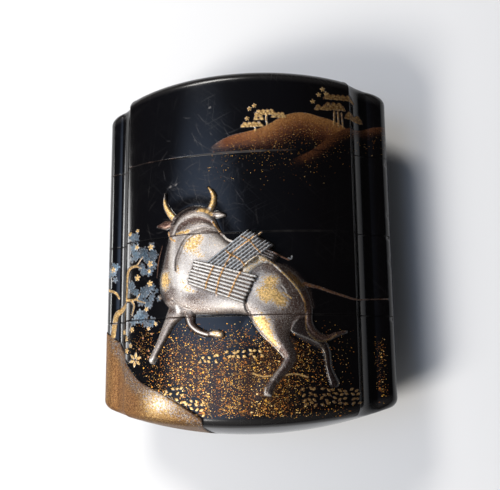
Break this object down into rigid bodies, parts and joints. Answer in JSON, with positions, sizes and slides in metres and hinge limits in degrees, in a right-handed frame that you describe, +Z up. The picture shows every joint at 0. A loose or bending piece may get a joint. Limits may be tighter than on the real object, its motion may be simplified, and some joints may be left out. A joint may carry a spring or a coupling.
{
  "type": "inro case",
  "caption": "Flat lens-shaped lacquered case: a lid and hollow boxes stacked on risers, a cord channel in each side, an ox with brushwood in low relief; it lies on its back.",
  "frame": {"origin": "below the middle of the case, on the surface that it lies on, at the level of the narrow flat along the crown of its back", "axes": "+Y along the case towards the lid, +Z up out of the decorated front, +X across the case to the right of someone who looks down on the front with the lid away from them"},
  "size_m": [0.062, 0.0758, 0.0287],
  "materials": {
    "lacquer": "wood under black lacquer polished to a gloss, with sprinkled gold, silver and red-brown powder"
  },
  "bodies": {
    "root": {"lid": "lacquer", "upper_case": "lacquer", "middle_case": "lacquer", "bottom_case": "lacquer"}
  },
  "joints": []
}
